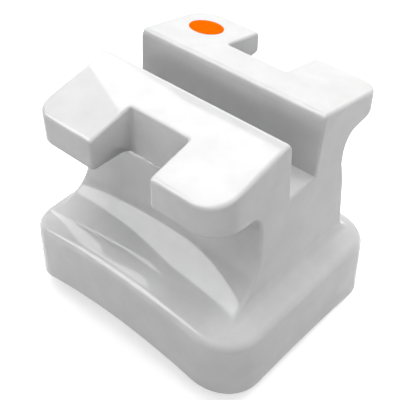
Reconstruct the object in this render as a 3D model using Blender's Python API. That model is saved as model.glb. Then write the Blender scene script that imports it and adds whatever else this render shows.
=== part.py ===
"""Orthodontic bracket: a twin bracket with four tie wings, moulded in white ceramic.

Frame: X runs along the archwire slot, Y runs across it towards the gingival tie wings, and Z points
away from the tooth. The origin lies under the middle of the whole bracket, level with the lowest point
of the base. Lengths are in metres. Heights named "height" are measured from the highest point of the
curved bonding face.
"""

from math import cos, pi, radians, sin, sqrt, tan

import bmesh
import bpy
from mathutils import Matrix

MM = 0.001

# Archwire slot, a nominal 0.022 by 0.028 inch; its walls lean together towards the floor
slot_width = 0.56 * MM
slot_depth = 0.73 * MM
slot_wall_draft = radians(3.7)
slot_floor_height = 1.894 * MM
lead_in_width = 0.05 * MM
lead_in_height = 0.09 * MM

# Bonding base
base_length = 3.456 * MM
base_width = 2.997 * MM
base_thickness = 0.838 * MM
base_round_corner = 0.58 * MM
base_tight_corner = 0.42 * MM
base_wall_draft = 0.026 * MM
base_rim_radius = 0.09 * MM
base_edge_radius = 0.04 * MM

# Tooth surface under the base: its two radii, and its top measured from the middle of the base
tooth_radius_along = 5.76 * MM
tooth_radius_across = 13.8 * MM
tooth_top_offset_x = -0.09 * MM
tooth_top_offset_y = -0.81 * MM

# Body: the waisted block between the base and the tie wings, set off from the middle of the base
body_end_margin = 0.353 * MM
body_offset_x = -0.028 * MM
slot_to_gingival_edge = 1.3015 * MM
body_corner_radius = 0.05 * MM
waist_height = 1.404 * MM
incisal_waist = 0.73 * MM
incisal_sweep_radius = 1.05 * MM
incisal_foot_margin = 0.345 * MM
gingival_waist_step = 0.008 * MM
gingival_waist_top = 1.964 * MM
gingival_taper = 0.15
gingival_foot_fillet = 0.10 * MM
mesial_end_lean = radians(1.0)
distal_end_lean = radians(7.5)
mesial_foot_fillet = 0.09 * MM
distal_foot_fillet = 0.04 * MM
end_crease_share = 0.7

# Tie wings
wing_reach = 1.485 * MM
wing_tilt = radians(11.5)
wing_round_corner = 0.36 * MM
wing_tight_corner = 0.24 * MM
wing_top_radius = 0.05 * MM
wing_lower_radius = 0.05 * MM
incisal_wing_under = 2.03 * MM
incisal_wing_fillet = 0.36 * MM
gingival_wing_under = 2.164 * MM
gingival_wing_fillet = 0.30 * MM
wing_under_rise = 0.02 * MM

# Notch between the two wings of a pair
notch_width = 0.885 * MM
notch_wall = 0.8425 * MM
notch_corner_radius = 0.05 * MM
notch_reach_under_wing = 0.16 * MM

# Softened edges of the cut openings
edge_softening = 0.035 * MM

# Orientation mark on the top of one gingival wing
dot_diameter = 0.45 * MM
dot_thickness = 0.035 * MM
dot_proud = 0.010 * MM
dot_clearance = 0.005 * MM
dot_from_wing_end = 0.45 * MM
dot_from_wing_tip = 0.485 * MM

# Fineness of the faceted surface
corner_steps = 7
long_side_steps = 10
short_side_steps = 8
fillet_steps = 5
foot_steps = 9
foot_step_growth = 1.8
rim_steps = 4
under_rings = 5
bevel_steps = 2
dot_sides = 40
sharp_angle = radians(35)
flat_angle = radians(0.1)

CUT_MARGIN = 0.3 * MM

body_length = base_length - 2 * body_end_margin
body_offset_y = base_width / 2 - slot_to_gingival_edge

# The gingival wings overhang the base, so the base lies off the origin to centre the whole bracket on it
base_middle_y = (base_width / 2 - body_offset_y - wing_reach) / 2
body_middle_y = base_middle_y + body_offset_y

# The ridge of the wing tops before the slot is cut
ridge_half_width = slot_width / 8

# First and last of the fixed points on the ends of the body
lowest_stop = body_middle_y - incisal_waist + body_corner_radius
highest_stop = body_middle_y + notch_wall - gingival_waist_step - body_corner_radius


def clear_scene():
    for obj in list(bpy.data.objects):
        bpy.data.objects.remove(obj, do_unlink=True)


def make_collection(name):
    collection = bpy.data.collections.new(name)
    bpy.context.scene.collection.children.link(collection)
    return collection


def make_material(name, colour, roughness, metallic=0.0):
    material = bpy.data.materials.new(name)
    material.use_nodes = True
    shader = material.node_tree.nodes["Principled BSDF"]
    shader.inputs["Base Color"].default_value = (*colour, 1.0)
    shader.inputs["Roughness"].default_value = roughness
    shader.inputs["Metallic"].default_value = metallic
    return material


def add_object(name, mesh, collection, material=None):
    obj = bpy.data.objects.new(name, mesh)
    collection.objects.link(obj)
    if material:
        mesh.materials.append(material)
    return obj


def sag(distance, radius):
    """How far a circle of this radius has fallen away at this distance from its top."""
    return radius - sqrt(radius * radius - distance * distance)


def foot_fillet(height, radius):
    """How far a fillet that stands on the base reaches out at this height."""
    if height >= radius:
        return 0.0
    return sag(radius - height, radius)


def tooth_fall(x, y, offset=0.0):
    """Fall of the doubly curved bonding face, or of a surface at an offset outside it."""
    along = sag(x - tooth_top_offset_x, tooth_radius_along + offset)
    across = sag(y - base_middle_y - tooth_top_offset_y, tooth_radius_across + offset)
    return along + across


def arc(centre_x, centre_y, radius, start):
    turns = [start + (pi / 2) * k / corner_steps for k in range(corner_steps + 1)]
    return [(centre_x + radius * cos(turn), centre_y + radius * sin(turn)) for turn in turns]


def between(start, end, steps):
    """The places that part a line into equal steps, without its two ends."""
    return [start + (end - start) * k / steps for k in range(1, steps)]


def outline(x_min, x_max, y_min, y_max, corners, end_stops=None):
    """Points of a rounded rectangle, counter-clockwise, equally many each time so that rings can be lofted.

    corners holds four radii: mesial incisal, mesial gingival, distal gingival, distal incisal.
    end_stops gives the y of the points between the corners on the two ends, if these are set.
    """
    first, second, third, fourth = corners
    points = arc(x_max - first, y_min + first, first, -pi / 2)
    points += [(x_max, y) for y in end_stops or between(y_min + first, y_max - second, short_side_steps)]
    points += arc(x_max - second, y_max - second, second, 0.0)
    points += [(x, y_max) for x in between(x_max - second, x_min + third, long_side_steps)]
    points += arc(x_min + third, y_max - third, third, pi / 2)
    down = reversed(end_stops) if end_stops else between(y_max - third, y_min + fourth, short_side_steps)
    points += [(x_min, y) for y in down]
    points += arc(x_min + fourth, y_min + fourth, fourth, pi)
    points += [(x, y_min) for x in between(x_min + fourth, x_max - first, long_side_steps)]
    return points


def base_corners(inset=0.0):
    radii = (base_round_corner, base_tight_corner, base_tight_corner, base_tight_corner)
    return [radius - inset for radius in radii]


def base_outline(inset):
    return outline(
        -base_length / 2 + inset,
        base_length / 2 - inset,
        base_middle_y - base_width / 2 + inset,
        base_middle_y + base_width / 2 - inset,
        base_corners(inset),
    )


def body_outline(half_length, incisal, gingival, corners, end_stops=None):
    return outline(
        body_offset_x - half_length,
        body_offset_x + half_length,
        body_middle_y - incisal,
        body_middle_y + gingival,
        corners,
        end_stops,
    )


def wing_corners(inset=0.0):
    return [radius - inset for radius in (wing_round_corner, wing_tight_corner) * 2]


def bonding_face_rings():
    """Rings of the concave bonding face, from its middle out to its edge."""
    rings = []
    for k in range(1, under_rings + 1):
        share = k / under_rings
        x = (base_length / 2 - base_edge_radius) * share
        y = (base_width / 2 - base_edge_radius) * share
        corners = [radius * share for radius in base_corners(base_edge_radius)]
        points = outline(-x, x, base_middle_y - y, base_middle_y + y, corners)
        rings.append([(px, py, -tooth_fall(px, py)) for px, py in points])
    return rings


def base_wall_rings():
    """The edge of the bonding face, the wall of the base and the rounded rim on top of it."""
    rings = []
    for k in range(1, fillet_steps + 1):
        turn = (pi / 2) * k / fillet_steps
        inset = base_edge_radius * (1 - sin(turn))
        rise = base_edge_radius * (1 - cos(turn))
        rings.append([(x, y, rise - tooth_fall(x, y)) for x, y in base_outline(inset)])
    for k in range(rim_steps + 1):
        turn = (pi / 2) * k / rim_steps
        inset = base_wall_draft + base_rim_radius * (1 - cos(turn))
        rise = base_thickness - base_rim_radius * (1 - sin(turn))
        points = base_outline(inset)
        rings.append([(x, y, rise - tooth_fall(x, y, base_thickness)) for x, y in points])
    return rings


def base_top_height(x, y):
    return base_thickness - tooth_fall(x, y, base_thickness)


def crease_heights():
    """Incisal and gingival height of the line across the ends, between the waist and the wing fillets."""
    incisal = incisal_wing_under - incisal_wing_fillet - waist_height
    gingival = gingival_wing_under - gingival_wing_fillet - waist_height
    return waist_height + end_crease_share * incisal, waist_height + end_crease_share * gingival


def share_of_stops(y):
    """Where this y lies between the first and the last of the fixed points, from 0 to 1."""
    return min(max((y - lowest_stop) / (highest_stop - lowest_stop), 0.0), 1.0)


def end_crease_height(y):
    """Height of the line across the two ends of the body from which they lean outwards."""
    incisal, gingival = crease_heights()
    return incisal + (gingival - incisal) * share_of_stops(y)


def spread(x, y, z, height):
    """The x of a body point once the ends lean outwards below their crease and meet the base in a fillet.

    The lean is full at the incisal side and fades to nothing at the gingival side.
    """
    mesial = x > body_offset_x
    lean = mesial_end_lean if mesial else distal_end_lean
    drop = max(end_crease_height(y) - z, 0.0) * (1 - share_of_stops(y))
    reach = tan(lean) * drop + foot_fillet(height, mesial_foot_fillet if mesial else distal_foot_fillet)
    return x + (x - body_offset_x) / (body_length / 2) * reach


def foot_rings():
    """Rings of the flared foot, from the top of the base up to the waist."""
    corner_x = body_offset_x + body_length / 2
    corner_drop = waist_height - base_top_height(corner_x, body_middle_y - incisal_waist)
    incisal_room = base_width / 2 + body_offset_y - incisal_foot_margin - incisal_waist
    incisal_foot_fillet = incisal_room - sag(corner_drop, incisal_sweep_radius)
    rings = []
    for k in range(foot_steps + 1):
        share = (k / foot_steps) ** foot_step_growth
        height = share * corner_drop
        below_waist = corner_drop - height
        incisal = incisal_waist + sag(below_waist, incisal_sweep_radius)
        incisal += foot_fillet(height, incisal_foot_fillet)
        gingival = notch_wall - gingival_waist_step
        gingival += gingival_taper * (gingival_waist_top - waist_height + below_waist)
        gingival += foot_fillet(height, gingival_foot_fillet)
        ring = []
        for x, y in body_outline(body_length / 2, incisal, gingival, [body_corner_radius] * 4):
            base_top = base_top_height(x, y)
            x = spread(x, y, base_top + share * (waist_height - base_top), height)
            base_top = base_top_height(x, y)
            ring.append((x, y, base_top + share * (waist_height - base_top)))
        rings.append(ring)
    return rings


def sloped_ring(incisal, gingival, corners, incisal_height, gingival_height):
    """A ring whose two long sides lie at heights of their own.

    Its points on the flat ends of the body have the same y in every such ring, so the rings lie above
    one another there and never cross.
    """
    stops = [lowest_stop, *between(lowest_stop, highest_stop, short_side_steps - 2), highest_stop]
    ring = []
    for x, y in body_outline(body_length / 2, incisal, gingival, corners, stops):
        ring.append((x, y, incisal_height + (gingival_height - incisal_height) * share_of_stops(y)))
    return ring


def wing_underside_rings():
    """The crease ring, the fillet under the wings, their undersides and the lower edge of the tips."""
    gingival_waist = notch_wall - gingival_waist_step
    corners = [body_corner_radius] * 4
    rings = [sloped_ring(incisal_waist, gingival_waist, corners, *crease_heights())]
    for k in range(fillet_steps + 1):
        turn = (pi / 2) * k / fillet_steps
        incisal = incisal_waist + incisal_wing_fillet * (1 - cos(turn))
        gingival = gingival_waist + gingival_wing_fillet * (1 - cos(turn))
        share = (incisal - incisal_waist) / (wing_reach - incisal_waist)
        corners = [body_corner_radius + (wide - body_corner_radius) * share for wide in wing_corners()]
        rings.append(sloped_ring(
            incisal, gingival, corners,
            incisal_wing_under - incisal_wing_fillet * (1 - sin(turn)),
            gingival_wing_under - gingival_wing_fillet * (1 - sin(turn)),
        ))
    for k in range(fillet_steps + 1):
        turn = (pi / 2) * k / fillet_steps
        reach = wing_reach - wing_lower_radius * (1 - sin(turn))
        rise = wing_under_rise + wing_lower_radius * (1 - cos(turn))
        rings.append(sloped_ring(
            reach, reach, wing_corners(), incisal_wing_under + rise, gingival_wing_under + rise
        ))
    return rings


def wing_top_height(y):
    """Height of the wing tops, which fall away from the slot on both sides."""
    lead_in_edge = slot_width / 2 + lead_in_width
    slot_edge_height = slot_floor_height + slot_depth + lead_in_height
    return slot_edge_height - tan(wing_tilt) * (abs(y - body_middle_y) - lead_in_edge)


def wing_top_rings():
    """Rounded upper edge of the wings and their tops, up to the ridge that the slot takes away."""
    rings = []
    for k in range(rim_steps + 1):
        turn = (pi / 2) * k / rim_steps
        inset = wing_top_radius * (1 - cos(turn))
        drop = wing_top_radius * (1 - sin(turn))
        reach = wing_reach - inset
        points = body_outline(body_length / 2 - inset, reach, reach, wing_corners(inset))
        rings.append([(x, y, wing_top_height(y) - drop) for x, y in points])
    ridge = ridge_half_width
    points = body_outline(body_length / 2 - wing_round_corner, ridge, ridge, [ridge / 2] * 4)
    rings.append([(x, y, wing_top_height(y)) for x, y in points])
    return rings


def loft(name, rings, collection, material):
    """One closed solid through rings of equally many points, with flat stretches made single faces.

    The first ring is closed by triangles round its middle, as the bonding face is hollow there too.
    """
    bm = bmesh.new()
    loops = [[bm.verts.new(point) for point in ring] for ring in rings]
    count = len(rings[0])
    for lower, upper in zip(loops, loops[1:]):
        for k in range(count):
            after = (k + 1) % count
            bm.faces.new((lower[k], lower[after], upper[after], upper[k]))
    bottom = bm.faces.new(reversed(loops[0]))
    bmesh.ops.poke(bm, faces=[bottom])
    bm.faces.new(loops[-1])
    bmesh.ops.recalc_face_normals(bm, faces=list(bm.faces))
    bmesh.ops.dissolve_limit(
        bm, angle_limit=flat_angle, verts=list(bm.verts), edges=list(bm.edges), delimit=set()
    )
    mesh = bpy.data.meshes.new(name)
    bm.to_mesh(mesh)
    bm.free()
    return add_object(name, mesh, collection, material)


def lifted(rings, rise):
    return [[(x, y, z + rise) for x, y, z in ring] for ring in rings]


def prism(name, profile, length, collection):
    """A cutter along X through the body: a flat outline given as (y, z), extruded."""
    bm = bmesh.new()
    start = [bm.verts.new((body_offset_x - length / 2, y, z)) for y, z in profile]
    face = bm.faces.new(start)
    pushed = bmesh.ops.extrude_face_region(bm, geom=[face])
    moved = [item for item in pushed["geom"] if isinstance(item, bmesh.types.BMVert)]
    bmesh.ops.translate(bm, verts=moved, vec=(length, 0, 0))
    bmesh.ops.recalc_face_normals(bm, faces=list(bm.faces))
    mesh = bpy.data.meshes.new(name)
    bm.to_mesh(mesh)
    bm.free()
    return add_object(name, mesh, collection)


def slot_cutter(rise, collection):
    floor = rise + slot_floor_height
    half = slot_width / 2
    floor_half = half - slot_depth * tan(slot_wall_draft)
    wall_top = floor + slot_depth
    over = lead_in_height + CUT_MARGIN
    out = half + lead_in_width * over / lead_in_height
    right = [(floor_half, floor), (half, wall_top), (out, wall_top + over)]
    profile = [(body_middle_y + y, z) for y, z in right]
    profile += [(body_middle_y - y, z) for y, z in reversed(right)]
    return prism("slot_cutter", profile, body_length + 2 * CUT_MARGIN, collection)


def notch_cutter(name, side, under, rise, collection):
    """A box with its two inner upright edges rounded, which parts the two wings of a pair."""
    depth = wing_reach - notch_wall + CUT_MARGIN
    bottom = rise + under - notch_reach_under_wing
    top = rise + wing_top_height(body_middle_y) + CUT_MARGIN
    bm = bmesh.new()
    bmesh.ops.create_cube(bm, size=1.0)
    bmesh.ops.scale(bm, vec=(notch_width, depth, top - bottom), verts=bm.verts)
    inner = [
        edge for edge in bm.edges
        if abs(edge.verts[0].co.z - edge.verts[1].co.z) > 0 and edge.verts[0].co.y * side < 0
    ]
    bmesh.ops.bevel(
        bm, geom=inner, offset=notch_corner_radius, segments=fillet_steps, profile=0.5, affect="EDGES"
    )
    centre_y = body_middle_y + side * (notch_wall + depth / 2)
    bmesh.ops.translate(bm, verts=bm.verts, vec=(body_offset_x, centre_y, (top + bottom) / 2))
    mesh = bpy.data.meshes.new(name)
    bm.to_mesh(mesh)
    bm.free()
    return add_object(name, mesh, collection)


def dot_place(rise):
    """Middle of the mark on the sloping top of its wing, and its tilt about X."""
    x = body_offset_x - body_length / 2 + dot_from_wing_end
    y = body_middle_y + wing_reach - dot_from_wing_tip
    place = Matrix.Translation((x, y, rise + wing_top_height(y)))
    return place @ Matrix.Rotation(-wing_tilt, 4, "X")


def disc(name, diameter, thickness, top, rise, collection, material=None):
    """A thin round disc in the wing top, its upper face at this distance above the surface."""
    bm = bmesh.new()
    bmesh.ops.create_cone(
        bm, cap_ends=True, segments=dot_sides, radius1=diameter / 2, radius2=diameter / 2, depth=thickness
    )
    bmesh.ops.translate(bm, verts=bm.verts, vec=(0, 0, top - thickness / 2))
    mesh = bpy.data.meshes.new(name)
    bm.to_mesh(mesh)
    bm.free()
    obj = add_object(name, mesh, collection, material)
    obj.matrix_world = dot_place(rise)
    return obj


def cut(obj, cutter):
    mark_cut_faces(cutter.data, True)
    cutter.hide_render = True
    cutter.display_type = "WIRE"
    modifier = obj.modifiers.new(cutter.name, "BOOLEAN")
    modifier.operation = "DIFFERENCE"
    modifier.solver = "EXACT"
    modifier.object = cutter


def mark_cut_faces(mesh, is_cut):
    """A note on every face that survives the cuts, so that the edges of the openings can be found."""
    mark = mesh.attributes.new("cut", "BOOLEAN", "FACE")
    mark.data.foreach_set("value", [is_cut] * len(mesh.polygons))


def apply_cuts(obj):
    depsgraph = bpy.context.evaluated_depsgraph_get()
    finished = bpy.data.meshes.new_from_object(obj.evaluated_get(depsgraph))
    obj.modifiers.clear()
    uncut = obj.data
    obj.data = finished
    bpy.data.meshes.remove(uncut)
    finished.name = obj.name


def soften_cut_edges(obj):
    """Round the outer edges of the openings: those between a cut face and a face of the loft."""
    bm = bmesh.new()
    bm.from_mesh(obj.data)
    mark = bm.faces.layers.bool["cut"]
    edges = []
    for edge in bm.edges:
        marks = {face[mark] for face in edge.link_faces}
        if len(marks) == 2 and edge.is_convex and edge.calc_face_angle() > sharp_angle:
            edges.append(edge)
    bmesh.ops.bevel(
        bm, geom=edges, offset=edge_softening, segments=bevel_steps, profile=0.5, affect="EDGES",
        clamp_overlap=False
    )
    bm.to_mesh(obj.data)
    bm.free()


def shade_round(obj):
    obj.data.shade_smooth()
    obj.data.set_sharp_from_angle(angle=sharp_angle)


def build_body(rise, parts, cutters):
    ceramic = make_material("white_ceramic", (0.86, 0.86, 0.86), 0.12)
    rings = bonding_face_rings() + base_wall_rings() + foot_rings()
    rings += wing_underside_rings() + wing_top_rings()
    body = loft("bracket_body", lifted(rings, rise), parts, ceramic)
    mark_cut_faces(body.data, False)
    cut(body, slot_cutter(rise, cutters))
    cut(body, notch_cutter("incisal_notch_cutter", -1, incisal_wing_under, rise, cutters))
    cut(body, notch_cutter("gingival_notch_cutter", 1, gingival_wing_under, rise, cutters))
    apply_cuts(body)
    soften_cut_edges(body)
    shade_round(body)
    recess = disc(
        "dot_recess_cutter", dot_diameter + 2 * dot_clearance, dot_thickness + CUT_MARGIN,
        CUT_MARGIN + dot_proud - dot_clearance, rise, cutters
    )
    cut(body, recess)
    return body


def build_dot(rise, parts):
    paint = make_material("orange_marking", (1.0, 0.18, 0.0), 0.35)
    return disc("orientation_dot", dot_diameter, dot_thickness, dot_proud, rise, parts, paint)


def main():
    clear_scene()
    parts = make_collection("orthodontic_bracket")
    cutters = make_collection("cutters")
    rise = -min(z for ring in base_wall_rings() for x, y, z in ring)
    build_body(rise, parts, cutters)
    build_dot(rise, parts)


main()
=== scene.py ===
# %% [markdown]
# # An orthodontic bracket in white ceramic
#
# A bracket is a tiny clip, bonded to a tooth, that holds the wire of a brace. This one is under 4 mm long.
# It has a thick base that fits the tooth, a waisted body, and four tie wings with a slot for the wire
# between them. Here we load the plain solid part and give it the fine, glossy surface of real ceramic.
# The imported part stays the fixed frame: whatever we make has to lie inside its box.

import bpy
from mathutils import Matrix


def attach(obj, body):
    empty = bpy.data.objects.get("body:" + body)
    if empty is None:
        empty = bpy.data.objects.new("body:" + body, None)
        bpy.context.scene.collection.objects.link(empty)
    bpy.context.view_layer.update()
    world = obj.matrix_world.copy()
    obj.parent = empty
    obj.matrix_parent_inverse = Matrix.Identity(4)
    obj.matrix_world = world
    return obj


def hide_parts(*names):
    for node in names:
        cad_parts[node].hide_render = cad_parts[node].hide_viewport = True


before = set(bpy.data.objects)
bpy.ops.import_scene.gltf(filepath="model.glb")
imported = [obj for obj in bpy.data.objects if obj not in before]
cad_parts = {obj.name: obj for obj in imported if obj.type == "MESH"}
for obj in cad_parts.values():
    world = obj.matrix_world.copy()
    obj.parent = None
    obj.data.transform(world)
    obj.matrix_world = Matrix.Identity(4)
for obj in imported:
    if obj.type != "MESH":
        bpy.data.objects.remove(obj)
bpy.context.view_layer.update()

# %% Tools used below
from math import cos, pi, radians, sin, sqrt, tan

import bmesh
import bpy
from mathutils import Matrix, Vector

scene = bpy.context.scene
MM = 0.001

# %% [markdown]
# ## The camera
#
# A small object is photographed from close by, so its lines run together: the far side looks smaller.
# The camera's place was worked out from the corners of the slot, the wings and the base, which are known
# shapes. A lens of 74 mm on a 36 mm sensor gives the same narrowing. The clip start has to be tiny here,
# because the camera is only about 11 mm away.

# %% Camera
view_azimuth, view_elevation = 41.22, 42.96


def direction_of(azimuth, elevation):
    """A unit vector; azimuth 0 is in front and 90 at the right, both angles in degrees."""
    turn, rise = radians(azimuth), radians(elevation)
    return Vector((sin(turn) * cos(rise), -cos(turn) * cos(rise), sin(rise)))


def look_from(thing, direction):
    """Turns a camera or a lamp so that it looks back against the direction it stands in."""
    thing.rotation_mode = "QUATERNION"
    thing.rotation_quaternion = (-direction).to_track_quat("-Z", "Y")


camera = bpy.data.objects.new("camera", bpy.data.cameras.new("camera"))
scene.collection.objects.link(camera)
camera.data.sensor_width = 36.0
camera.data.lens = 73.6
camera.data.clip_start = 0.5 * MM
camera.data.clip_end = 1.0
camera.location = Vector((4.950, -5.758, 8.449)) * MM
look_from(camera, direction_of(view_azimuth, view_elevation))
scene.camera = camera
print("camera is", round(camera.location.length / MM, 2), "mm from the origin")

# %% [markdown]
# ## White surroundings
#
# The bracket stands in front of pure white, yet its walls are grey and its hollows darker still. A bright
# world would whiten them all. So the white is there for the camera and for reflections alone, and the light
# that falls on the bracket comes from lamps. A Light Path node tells these rays apart. Strength 1 is white,
# and the view transform Standard keeps it so.

# %% World
scene.view_settings.view_transform = "Standard"


def seen_rays(tree):
    """1 for rays from the camera, off gloss or through glass, and 0 for all the others."""
    rays = tree.nodes.new("ShaderNodeLightPath")
    seen = rays.outputs["Is Camera Ray"]
    for kind in ("Is Glossy Ray", "Is Transmission Ray"):
        either = tree.nodes.new("ShaderNodeMath")
        either.operation = "MAXIMUM"
        tree.links.new(seen, either.inputs[0])
        tree.links.new(rays.outputs[kind], either.inputs[1])
        seen = either.outputs[0]
    return seen


world = bpy.data.worlds.new("white_surroundings")
world.use_nodes = True
scene.world = world
tree = world.node_tree
tree.nodes.clear()
white = tree.nodes.new("ShaderNodeBackground")
white.inputs["Color"].default_value = (1.0, 1.0, 1.0, 1.0)
world_out = tree.nodes.new("ShaderNodeOutputWorld")
tree.links.new(seen_rays(tree), white.inputs["Strength"])
tree.links.new(white.outputs["Background"], world_out.inputs["Surface"])
print("surroundings are white to look at and give no light")

# %% [markdown]
# ## The table
#
# The bracket stands on a plain pale sheet. We could light the sheet until it turns white, but that would
# light the bracket too. So the sheet glows a little, to be looked at only. It melts into the white behind it
# and keeps the bracket's shadow. To all other rays it is a dark sheet that throws almost nothing back, and
# that leaves the walls of the base grey.

# %% Table
table_half = 16 * MM
table_glow = 0.62
table_corners = [(x * table_half, y * table_half, 0.0) for x, y in ((-1, -1), (1, -1), (1, 1), (-1, 1))]
table_mesh = bpy.data.meshes.new("table")
table_mesh.from_pydata(table_corners, [], [(0, 1, 2, 3)])
table = bpy.data.objects.new("table", table_mesh)
scene.collection.objects.link(table)
print("table is", 2 * table_half / MM, "mm square")

# %% Paper on the table
table_paper = bpy.data.materials.new("table_paper")
table_paper.use_nodes = True
tree = table_paper.node_tree
tree.nodes.clear()
dark_sheet = tree.nodes.new("ShaderNodeBsdfDiffuse")
dark_sheet.inputs["Color"].default_value = (0.08, 0.08, 0.08, 1.0)
pale_sheet = tree.nodes.new("ShaderNodeBsdfDiffuse")
pale_sheet.inputs["Color"].default_value = (0.9, 0.9, 0.9, 1.0)
glow = tree.nodes.new("ShaderNodeEmission")
glow.inputs["Strength"].default_value = table_glow
glowing_sheet = tree.nodes.new("ShaderNodeAddShader")
sheet = tree.nodes.new("ShaderNodeMixShader")
sheet_out = tree.nodes.new("ShaderNodeOutputMaterial")
tree.links.new(pale_sheet.outputs["BSDF"], glowing_sheet.inputs[0])
tree.links.new(glow.outputs["Emission"], glowing_sheet.inputs[1])
tree.links.new(seen_rays(tree), sheet.inputs["Fac"])
tree.links.new(dark_sheet.outputs["BSDF"], sheet.inputs[1])
tree.links.new(glowing_sheet.outputs["Shader"], sheet.inputs[2])
tree.links.new(sheet.outputs["Shader"], sheet_out.inputs["Surface"])
table_mesh.materials.append(table_paper)
print("paper glows at", table_glow)

# %% [markdown]
# ## A dome of soft boxes
#
# One large lamp would light a plain shape well enough. Here every side has a grey of its own, so three rings
# of four soft boxes stand round the bracket, and one more hangs overhead. The strongest hang high at the
# back and at the left, and whiten the tops of the wings. The middle ring is nearly dark on the camera's
# side, which keeps the walls there grey.
# The brightness of each box started from a fit: every lamp was rendered alone, and a least-squares mix of
# those pictures was brought near the tones of the photo. The numbers below start from that mix, and most
# of them were then changed.
# The boxes don't show in reflections. What the ceramic mirrors, besides the white surroundings, comes next.

# %% Soft boxes
object_middle = Vector((0.0, 0.0, 1.5)) * MM
lamp_distance = 40


def soft_box(name, azimuth, elevation, width, height, brightness):
    """A rectangle of light in millimetres; brightness is how bright its face looks, 1 being white."""
    direction = direction_of(azimuth, elevation)
    lamp = bpy.data.lights.new(name, "AREA")
    lamp.shape = "RECTANGLE"
    lamp.size = width * MM
    lamp.size_y = height * MM
    lamp.energy = brightness * pi * lamp.size * lamp.size_y
    # Without this sampling a lamp lights by shadow rays alone, and the body stops those.
    lamp.cycles.use_multiple_importance_sampling = False
    holder = bpy.data.objects.new(name, lamp)
    scene.collection.objects.link(holder)
    holder.visible_glossy = False
    holder.location = object_middle + direction * lamp_distance * MM
    look_from(holder, direction)


# Each ring: elevation, width and height of a box, and the brightness in front, right, back and left.
rings_of_boxes = {
    "top": (90, 17, 17, (0.8,)),
    "high": (66, 26, 16, (1.6, 1.1, 4.6, 2.6)),
    "middle": (41, 47, 19, (0.15, 0.15, 1.2, 0.5)),
    "low": (15, 60, 17, (1.45, 0.9, 0.4, 0.4)),
}
for ring_name, (elevation, width, height, levels) in rings_of_boxes.items():
    for side, brightness in enumerate(levels):
        soft_box(ring_name + "_box_" + str(side), 90 * side, elevation, width, height, brightness)
    print(ring_name, "ring:", len(levels), "boxes, brightness", levels)

# %% [markdown]
# ## Cards to mirror
#
# Gloss shows only where there is something bright to mirror. Photographers hang white cards round a glossy
# object for that, and so do we. A card is an outline of directions (azimuth, elevation) as the bracket sees
# them, and it hangs so far away that every part of the bracket sees it alike. Only reflections show it, so
# it adds gloss and no light. The front card makes the bright band on the hollow curve below the wings. The
# left card brightens most of the front wings and ends on them in a clear line, and a corner of it shows on
# the base too. The back card brightens the back wings.
# The corners of the front card were fitted to the edges of the band in the photo, by a separate program that
# follows the reflection back. The points of the other two were given one by one from the same tracing of
# reflections.

# %% Cards
card_distance = 200


def card(name, directions, brightness):
    """An outline of (azimuth, elevation) pairs in degrees, seen by glossy rays only."""
    points = [object_middle + direction_of(*pair) * card_distance * MM for pair in directions]
    mesh = bpy.data.meshes.new(name)
    mesh.from_pydata(points, [], [range(len(points))])
    glowing = bpy.data.materials.new(name)
    glowing.use_nodes = True
    tree = glowing.node_tree
    tree.nodes.clear()
    shine = tree.nodes.new("ShaderNodeEmission")
    shine.inputs["Strength"].default_value = brightness
    shine_out = tree.nodes.new("ShaderNodeOutputMaterial")
    tree.links.new(shine.outputs["Emission"], shine_out.inputs["Surface"])
    mesh.materials.append(glowing)
    board = bpy.data.objects.new(name, mesh)
    scene.collection.objects.link(board)
    board.visible_camera = False
    board.visible_diffuse = False
    board.visible_shadow = False
    print(name, "brightness", brightness)


card("front_card", [(-66.7, 19.2), (-26.7, 22.7), (39.0, 78.3), (-86.5, 69.3)], 3.6)
card("left_card", [
    (-113, 0), (-113.5, 20), (-114.5, 27), (-117.2, 39.6), (-118.5, 43.5), (-117, 47), (-120.4, 51.1),
    (-124.8, 54.2), (-131, 58), (-131, 62), (-113, 62), (-113, 40), (-113, 20),
], 2.8)
card("back_card", [(-131, 0), (-155, 0), (-178, 0), (-178, 44), (-155, 44), (-131, 44)], 1.35)

# %% [markdown]
# ## The body, in fine steps
#
# The whole bracket is moulded in one piece, so it is one mesh. A box with a subdivision surface would come
# close, but its sizes would drift, and here they are known. So we draw a stack of rings, from the bonding
# face up to the tops of the wings, and join each ring to the next: that is a loft. Fine steps keep the
# reflections smooth. All sizes are in millimetres until the very end.

# %% How fine the surface is
corner_steps, long_steps, short_steps = 16, 44, 34
fillet_steps, edge_steps = 12, 8
print("steps in a corner, a long side and a short side:", corner_steps, long_steps, short_steps)


# %% [markdown]
# ## Rings of equally many points
#
# A loft needs every ring to have the same number of points, in the same order. A rounded rectangle does
# that well here: the base, the waist and the wings are all rounded rectangles with other sizes. The slot
# runs along x, and the front of the bracket is where y is negative.

# %% A rounded rectangle
def quarter(centre_x, centre_y, radius, start):
    turns = [start + pi / 2 * k / corner_steps for k in range(corner_steps + 1)]
    return [(centre_x + radius * cos(turn), centre_y + radius * sin(turn)) for turn in turns]


def parted(start, end, steps):
    return [start + (end - start) * k / steps for k in range(1, steps)]


def rounded(x_min, x_max, y_min, y_max, radii, stops=None):
    """Counter-clockwise points; stops are given places along y for the points of the two short sides."""
    right_front, right_back, left_back, left_front = radii
    points = quarter(x_max - right_front, y_min + right_front, right_front, -pi / 2)
    points += [(x_max, y) for y in stops or parted(y_min + right_front, y_max - right_back, short_steps)]
    points += quarter(x_max - right_back, y_max - right_back, right_back, 0.0)
    points += [(x, y_max) for x in parted(x_max - right_back, x_min + left_back, long_steps)]
    points += quarter(x_min + left_back, y_max - left_back, left_back, pi / 2)
    down = reversed(stops) if stops else parted(y_max - left_back, y_min + left_front, short_steps)
    points += [(x_min, y) for y in down]
    points += quarter(x_min + left_front, y_min + left_front, left_front, pi)
    points += [(x, y_min) for x in parted(x_min + left_front, x_max - right_front, long_steps)]
    return points


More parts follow.
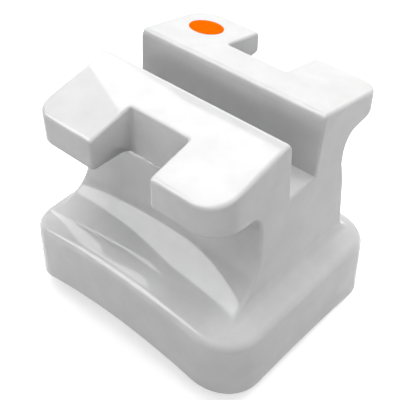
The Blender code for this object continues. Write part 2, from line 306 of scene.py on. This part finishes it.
# %% Rings of the base and of the body
base_length, base_width, base_y = 3.456, 2.997, -0.09175
base_corners = (0.58, 0.42, 0.42, 0.42)
body_x, body_y = -0.028, 0.10525


def around_base(inset, share=1.0):
    x, y = (base_length / 2 - inset) * share, (base_width / 2 - inset) * share
    radii = [(corner - inset) * share for corner in base_corners]
    return rounded(-x, x, base_y - y, base_y + y, radii)


def around_body(half, front, back, radii, stops=None):
    return rounded(body_x - half, body_x + half, body_y - front, body_y + back, radii, stops)


print("base", base_length, "x", base_width, "mm; points in a ring:", len(around_base(0.0)))

# %% [markdown]
# ## The base
#
# A tooth is rounded both ways, so the bonding face is hollow both ways: each point falls by the sag of two
# circles. The top of the base keeps the same thickness above it, and a small radius softens its rim.
# Heights count from the highest point of the tooth's curve. At the end the lift raises the whole bracket,
# so that its lowest corner stands on the table.

# %% Bonding face and base wall
base_thickness, base_draft, base_rim, base_edge = 0.838, 0.026, 0.09, 0.04
tooth_along, tooth_across, tooth_x, tooth_y = 5.76, 13.8, -0.09, -0.90175
lift = 0.42523
under_steps = 14


def sag(distance, radius):
    return radius - sqrt(radius * radius - distance * distance)


def tooth_fall(x, y, offset=0.0):
    return sag(x - tooth_x, tooth_along + offset) + sag(y - tooth_y, tooth_across + offset)


def base_top(x, y):
    return base_thickness - tooth_fall(x, y, base_thickness)


base_rings = []
for k in range(1, under_steps + 1):
    points = around_base(base_edge, k / under_steps)
    base_rings.append([(x, y, -tooth_fall(x, y)) for x, y in points])
for k in range(1, fillet_steps + 1):
    turn = pi / 2 * k / fillet_steps
    points = around_base(base_edge * (1 - sin(turn)))
    up = base_edge * (1 - cos(turn))
    base_rings.append([(x, y, up - tooth_fall(x, y)) for x, y in points])
for k in range(edge_steps + 1):
    turn = pi / 2 * k / edge_steps
    points = around_base(base_draft + base_rim * (1 - cos(turn)))
    down = base_rim * (1 - sin(turn))
    base_rings.append([(x, y, base_top(x, y) - down) for x, y in points])
lowest = min(z for ring in base_rings for x, y, z in ring) + lift
print("base rings:", len(base_rings), " lowest point", round(lowest, 5), "mm")

# %% [markdown]
# ## The waist
#
# From the base the body sweeps up into a narrow waist, which leaves room for the ties under the wings.
# The front is one long hollow curve, the back a short steep one, and the two ends lean outwards a little.
# A crease round the waist, lower in front than at the back, marks where the lean of the ends stops.

# %% Sizes of the waist
body_length, body_corner, waist_height = 2.75, 0.05, 1.404
front_waist, front_sweep, front_margin, front_under, front_fillet = 0.73, 1.05, 0.345, 2.03, 0.36
back_waist, back_waist_top, back_taper, back_foot = 0.8345, 1.964, 0.15, 0.10
back_under, back_fillet = 2.164, 0.30
right_lean, left_lean, right_foot, left_foot = radians(1.0), radians(7.5), 0.09, 0.04
crease_share = 0.7
front_crease = waist_height + crease_share * (front_under - front_fillet - waist_height)
back_crease = waist_height + crease_share * (back_under - back_fillet - waist_height)
left_stop = body_y - front_waist + body_corner
right_stop = body_y + back_waist - body_corner
print("waist is", round(front_waist + back_waist, 4), "mm across the slot")


# %% Foot and waist
def ring_share(y):
    """0 at the front of the waist, 1 at its back, and in proportion between them."""
    return min(max((y - left_stop) / (right_stop - left_stop), 0.0), 1.0)


def foot(height, radius):
    return 0.0 if height >= radius else sag(radius - height, radius)


def spread(x, y, z, height):
    """Below its crease an end leans out, most at the front, and it meets the base in a fillet."""
    crease = front_crease + (back_crease - front_crease) * ring_share(y)
    lean, fillet = (right_lean, right_foot) if x > body_x else (left_lean, left_foot)
    reach = tan(lean) * max(crease - z, 0.0) * (1 - ring_share(y)) + foot(height, fillet)
    return x + (x - body_x) / (body_length / 2) * reach


# A power above 1 gathers the rings near the base, where the curves are tight.
foot_steps, foot_gathering = 34, 1.8
foot_rings = []
foot_drop = waist_height - base_top(body_x + body_length / 2, body_y - front_waist)
front_room = base_width / 2 + body_y - base_y - front_margin - front_waist
front_foot = front_room - sag(foot_drop, front_sweep)
for k in range(foot_steps + 1):
    share = (k / foot_steps) ** foot_gathering
    height = share * foot_drop
    front = front_waist + sag(foot_drop - height, front_sweep) + foot(height, front_foot)
    back = back_waist + back_taper * (back_waist_top - waist_height + foot_drop - height)
    back += foot(height, back_foot)
    ring = []
    for x, y in around_body(body_length / 2, front, back, [body_corner] * 4):
        top = base_top(x, y)
        x = spread(x, y, top + share * (waist_height - top), height)
        top = base_top(x, y)
        ring.append((x, y, top + share * (waist_height - top)))
    foot_rings.append(ring)
print("foot rings:", len(foot_rings))

# %% [markdown]
# ## The wings
#
# The four wings hang out over the waist. Their undersides lie higher at the back than at the front, so these
# rings slope. On the flat ends their points keep the same places, and the rings never cross there.

# %% Undersides, tips and tops of the wings
wing_reach, wing_tilt, wing_rise = 1.485, radians(11.5), 0.02
wing_corner_radii = (0.36, 0.24, 0.36, 0.24)
wing_top_edge, wing_low_edge = 0.05, 0.05
slot_width, slot_depth, slot_floor = 0.56, 0.73, 1.894
chamfer_width, chamfer_height = 0.05, 0.09


def sloped(front, back, radii, front_height, back_height):
    stops = [left_stop, *parted(left_stop, right_stop, short_steps - 2), right_stop]
    points = around_body(body_length / 2, front, back, radii, stops)
    return [(x, y, front_height + (back_height - front_height) * ring_share(y)) for x, y in points]


def wing_top(y):
    edge_height = slot_floor + slot_depth + chamfer_height
    return edge_height - tan(wing_tilt) * (abs(y - body_y) - slot_width / 2 - chamfer_width)


wing_rings = [sloped(front_waist, back_waist, [body_corner] * 4, front_crease, back_crease)]
for k in range(fillet_steps + 1):
    turn = pi / 2 * k / fillet_steps
    front = front_waist + front_fillet * (1 - cos(turn))
    back = back_waist + back_fillet * (1 - cos(turn))
    share = (front - front_waist) / (wing_reach - front_waist)
    radii = [body_corner + (wide - body_corner) * share for wide in wing_corner_radii]
    wing_rings.append(sloped(
        front, back, radii,
        front_under - front_fillet * (1 - sin(turn)),
        back_under - back_fillet * (1 - sin(turn)),
    ))
for k in range(edge_steps + 1):
    turn = pi / 2 * k / edge_steps
    reach = wing_reach - wing_low_edge * (1 - sin(turn))
    up = wing_rise + wing_low_edge * (1 - cos(turn))
    wing_rings.append(sloped(reach, reach, wing_corner_radii, front_under + up, back_under + up))
for k in range(edge_steps + 1):
    turn = pi / 2 * k / edge_steps
    inset = wing_top_edge * (1 - cos(turn))
    down = wing_top_edge * (1 - sin(turn))
    radii = [wide - inset for wide in wing_corner_radii]
    points = around_body(body_length / 2 - inset, wing_reach - inset, wing_reach - inset, radii)
    wing_rings.append([(x, y, wing_top(y) - down) for x, y in points])
ridge = slot_width / 8
points = around_body(body_length / 2 - max(wing_corner_radii), ridge, ridge, [ridge / 2] * 4)
wing_rings.append([(x, y, wing_top(y)) for x, y in points])
print("wing rings:", len(wing_rings))

# %% [markdown]
# ## Joining the rings
#
# Each ring is joined to the next with four-sided faces, and the two ends are closed. Stretches that came out
# flat are then melted into single faces, so that the cuts and their rounded edges run clean across them.

# %% Loft
flat_angle = radians(0.1)
rings = base_rings + foot_rings + wing_rings
solid = bmesh.new()
loops = [[solid.verts.new((x, y, max(z + lift, 0.0))) for x, y, z in ring] for ring in rings]
count = len(loops[0])
for lower, upper in zip(loops, loops[1:]):
    for k in range(count):
        after = (k + 1) % count
        solid.faces.new((lower[k], lower[after], upper[after], upper[k]))
bottom = solid.faces.new(reversed(loops[0]))
bmesh.ops.poke(solid, faces=[bottom])
solid.faces.new(loops[-1])
bmesh.ops.recalc_face_normals(solid, faces=solid.faces[:])
bmesh.ops.dissolve_limit(
    solid, angle_limit=flat_angle, verts=solid.verts[:], edges=solid.edges[:], delimit=set()
)
body_mesh = bpy.data.meshes.new("fine_body")
solid.to_mesh(body_mesh)
solid.free()
body = bpy.data.objects.new("fine_body", body_mesh)
scene.collection.objects.link(body)
print("loft faces:", len(body_mesh.polygons))

# %% [markdown]
# ## The slot and the notches
#
# The wire slot runs the whole length, slightly narrower at its floor, with a chamfer that leads the wire in.
# A square notch in front and one at the back part the wings. The rings could carry these shapes too, but
# each of them would need many more points. So all three are cut out of the finished loft with Booleans.
# Faces that a cut leaves get a mark, by which the edges of the cuts are found again afterwards.

# %% Cutters
slot_draft = radians(3.7)
notch_width, notch_wall, notch_corner, notch_below = 0.885, 0.8425, 0.05, 0.16
notch_corner_steps = 8
cut_margin = 0.3


def note_cut(mesh, value):
    mark = mesh.attributes.new("cut", "BOOLEAN", "FACE")
    mark.data.foreach_set("value", [value] * len(mesh.polygons))


def cutter_from(name, shape):
    bmesh.ops.recalc_face_normals(shape, faces=shape.faces[:])
    mesh = bpy.data.meshes.new(name)
    shape.to_mesh(mesh)
    shape.free()
    note_cut(mesh, True)
    cutter = bpy.data.objects.new(name, mesh)
    scene.collection.objects.link(cutter)
    return cutter


def slot_cutter():
    floor, half = lift + slot_floor, slot_width / 2
    narrow = half - slot_depth * tan(slot_draft)
    over = chamfer_height + cut_margin
    side = [
        (narrow, floor), (half, floor + slot_depth),
        (half + chamfer_width * over / chamfer_height, floor + slot_depth + over),
    ]
    profile = [(body_y + y, z) for y, z in side] + [(body_y - y, z) for y, z in reversed(side)]
    shape = bmesh.new()
    start = body_x - body_length / 2 - cut_margin
    face = shape.faces.new([shape.verts.new((start, y, z)) for y, z in profile])
    pushed = bmesh.ops.extrude_face_region(shape, geom=[face])["geom"]
    moved = [item for item in pushed if isinstance(item, bmesh.types.BMVert)]
    bmesh.ops.translate(shape, verts=moved, vec=(body_length + 2 * cut_margin, 0, 0))
    return cutter_from("slot_cutter", shape)


def notch_cutter(name, side, under):
    depth = wing_reach - notch_wall + cut_margin
    bottom, top = lift + under - notch_below, lift + wing_top(body_y) + cut_margin
    shape = bmesh.new()
    bmesh.ops.create_cube(shape, size=1.0)
    bmesh.ops.scale(shape, vec=(notch_width, depth, top - bottom), verts=shape.verts)
    inner = [
        edge for edge in shape.edges
        if abs(edge.verts[0].co.z - edge.verts[1].co.z) > 0 and edge.verts[0].co.y * side < 0
    ]
    bmesh.ops.bevel(
        shape, geom=inner, offset=notch_corner, segments=notch_corner_steps, profile=0.5, affect="EDGES"
    )
    middle = (body_x, body_y + side * (notch_wall + depth / 2), (top + bottom) / 2)
    bmesh.ops.translate(shape, verts=shape.verts, vec=middle)
    return cutter_from(name, shape)


cutters = [
    slot_cutter(),
    notch_cutter("front_notch_cutter", -1, front_under),
    notch_cutter("back_notch_cutter", 1, back_under),
]
print("cutters:", [cutter.name for cutter in cutters])

# %% Cut the body
note_cut(body.data, False)
for cutter in cutters:
    away = body.modifiers.new(cutter.name, "BOOLEAN")
    away.operation = "DIFFERENCE"
    away.solver = "EXACT"
    away.object = cutter
bpy.context.view_layer.update()
cut_mesh = bpy.data.meshes.new_from_object(body.evaluated_get(bpy.context.evaluated_depsgraph_get()))
body.modifiers.clear()
body.data = cut_mesh
for cutter in cutters:
    bpy.data.objects.remove(cutter)
print("faces after the cuts:", len(body.data.polygons))

# %% [markdown]
# ## Soft edges on the cuts
#
# Fired ceramic has no knife edges: light catches a thin bright line along every corner. A Bevel modifier
# would take the roundings of the loft as well. So we bevel only the outward corners between a cut face and
# a face of the loft. The cuts leave a few tiny gaps in the mesh, and these are closed first. At the corners
# of the notches' feet the rounding still overlaps itself a little, which is a fault that is left.
# Last, the body shrinks by a twenty-thousandth, so that it lies inside the frame's box for certain.

# %% Close the tiny gaps
most_gap_sides = 8
solid = bmesh.new()
solid.from_mesh(body.data)
gaps = [edge for edge in solid.edges if edge.is_boundary]
bmesh.ops.holes_fill(solid, edges=gaps, sides=most_gap_sides)
print("edges of tiny gaps closed:", len(gaps), " left:", sum(edge.is_boundary for edge in solid.edges))

# %% Round the edges of the cuts
cut_edge, cut_edge_steps = 0.038, 5
sharp_angle = radians(35)
inside_frame = 0.99995
flat_weight = 90
mark = solid.faces.layers.bool["cut"]
corners = []
for edge in solid.edges:
    kinds = {face[mark] for face in edge.link_faces}
    if len(kinds) == 2 and edge.is_convex and edge.calc_face_angle() > sharp_angle:
        corners.append(edge)
bmesh.ops.bevel(
    solid, geom=corners, offset=cut_edge, segments=cut_edge_steps, profile=0.5, affect="EDGES",
    clamp_overlap=False,
)
bmesh.ops.scale(solid, vec=(inside_frame * MM,) * 3, verts=solid.verts)
solid.to_mesh(body.data)
solid.free()
body.data.shade_smooth()
body.data.set_sharp_from_angle(angle=sharp_angle)
flat_first = body.modifiers.new("flat_faces_stay_flat", "WEIGHTED_NORMAL")
flat_first.keep_sharp = True
flat_first.weight = flat_weight
print("rounded", len(corners), "edges; triangles:", sum(len(p.vertices) - 2 for p in body.data.polygons))

# %% [markdown]
# ## White ceramic
#
# The real thing is fired alumina: dense, white, polished and a little stronger in its reflections than
# glass. One flat white would look like plastic, and real ceramic is never quite even, so soft clouds shift
# both its white and its polish a little. The index of refraction, 1.76, is that of alumina, and the surface
# is smooth enough to mirror a card with a clear edge.
# The body is hidden from its own glossy and diffuse rays: it shows no mirror image of itself and throws no
# light from wall to wall. That keeps the bright band whole and the hollows darker. The body still stops the
# light of the lamps, and so its shadows stay.

# %% A clouded colour
def clouded(tree, scale, detail, low, high):
    """Gives clouds, and a colour that goes from low to high with them; both are (place, colour) pairs."""
    place = tree.nodes.new("ShaderNodeTexCoord")
    clouds = tree.nodes.new("ShaderNodeTexNoise")
    clouds.inputs["Scale"].default_value = scale
    clouds.inputs["Detail"].default_value = detail
    ramp = tree.nodes.new("ShaderNodeValToRGB")
    for stop, (position, colour) in zip(ramp.color_ramp.elements, (low, high)):
        stop.position = position
        stop.color = (*colour, 1.0)
    tree.links.new(place.outputs["Object"], clouds.inputs["Vector"])
    tree.links.new(clouds.outputs["Fac"], ramp.inputs["Fac"])
    return clouds.outputs["Fac"], ramp.outputs["Color"]


# %% Ceramic
ceramic = bpy.data.materials.new("white_ceramic")
ceramic.use_nodes = True
tree = ceramic.node_tree
shader = tree.nodes["Principled BSDF"]
shader.inputs["IOR"].default_value = 1.76
clouds, white_tint = clouded(tree, 2600.0, 3.0, (0.35, (0.77, 0.77, 0.77)), (0.68, (0.83, 0.83, 0.83)))
polish = tree.nodes.new("ShaderNodeMapRange")
polish.inputs["To Min"].default_value = 0.02
polish.inputs["To Max"].default_value = 0.04
tree.links.new(white_tint, shader.inputs["Base Color"])
tree.links.new(clouds, polish.inputs["Value"])
tree.links.new(polish.outputs["Result"], shader.inputs["Roughness"])
body.data.materials.clear()
body.data.materials.append(ceramic)
body.visible_glossy = False
body.visible_diffuse = False
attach(body, "root")
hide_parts("bracket_body")
print("ceramic is on", body.name)

# %% [markdown]
# ## The orange mark
#
# A dab of paint on one back wing tells the dentist which way round the bracket goes. It could be a coloured
# patch in the ceramic, but a thin disc of its own has a real rim and stays easy to recolour. Paint pulls
# itself into a flat drop: level in the middle, with a rounded rim.

# %% Paint drop
dot_radius, dot_top, dot_foot = 0.225, 0.0098, -0.012
dot_from_middle_x, dot_from_middle_y = -0.925, 1.00
dot_x, dot_y = body_x + dot_from_middle_x, body_y + dot_from_middle_y
dot_sides, dot_steps = 64, 10
# Powers below 1 make the drop wider and flatter than a plain dome.
wide_power, flat_power = 0.5, 0.6
drop_profile = []
for k in range(1, dot_steps + 1):
    turn = pi / 2 * k / dot_steps
    drop_profile.append((dot_radius * sin(turn) ** wide_power, dot_top * cos(turn) ** flat_power))
drop_profile.append((dot_radius, dot_foot))
drop = bmesh.new()
centre = drop.verts.new((0, 0, dot_top))
previous = None
for radius, height in drop_profile:
    turns = [2 * pi * k / dot_sides for k in range(dot_sides)]
    ring = [drop.verts.new((radius * cos(turn), radius * sin(turn), height)) for turn in turns]
    for k in range(dot_sides):
        after = (k + 1) % dot_sides
        if previous is None:
            drop.faces.new((centre, ring[k], ring[after]))
        else:
            drop.faces.new((previous[k], ring[k], ring[after], previous[after]))
    previous = ring
drop.faces.new(reversed(previous))
bmesh.ops.recalc_face_normals(drop, faces=drop.faces[:])
tilted = Matrix.Translation((dot_x, dot_y, lift + wing_top(dot_y))) @ Matrix.Rotation(-wing_tilt, 4, "X")
bmesh.ops.transform(drop, matrix=Matrix.Scale(MM, 4) @ tilted, verts=drop.verts)
dot_mesh = bpy.data.meshes.new("paint_dot")
drop.to_mesh(dot_mesh)
drop.free()
dot_mesh.shade_smooth()
dot = bpy.data.objects.new("paint_dot", dot_mesh)
scene.collection.objects.link(dot)
print("dot is", 2 * dot_radius, "mm wide")

# %% Orange paint
paint = bpy.data.materials.new("orange_paint")
paint.use_nodes = True
tree = paint.node_tree
shader = tree.nodes["Principled BSDF"]
shader.inputs["Roughness"].default_value = 0.6
shader.inputs["Specular IOR Level"].default_value = 0.0
orange = clouded(tree, 30000.0, 2.0, (0.3, (0.94, 0.145, 0.0005)), (0.7, (1.0, 0.175, 0.001)))[1]
tree.links.new(orange, shader.inputs["Base Color"])
dot_mesh.materials.append(paint)
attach(dot, "root")
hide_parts("orientation_dot")
print("paint is on", dot.name)
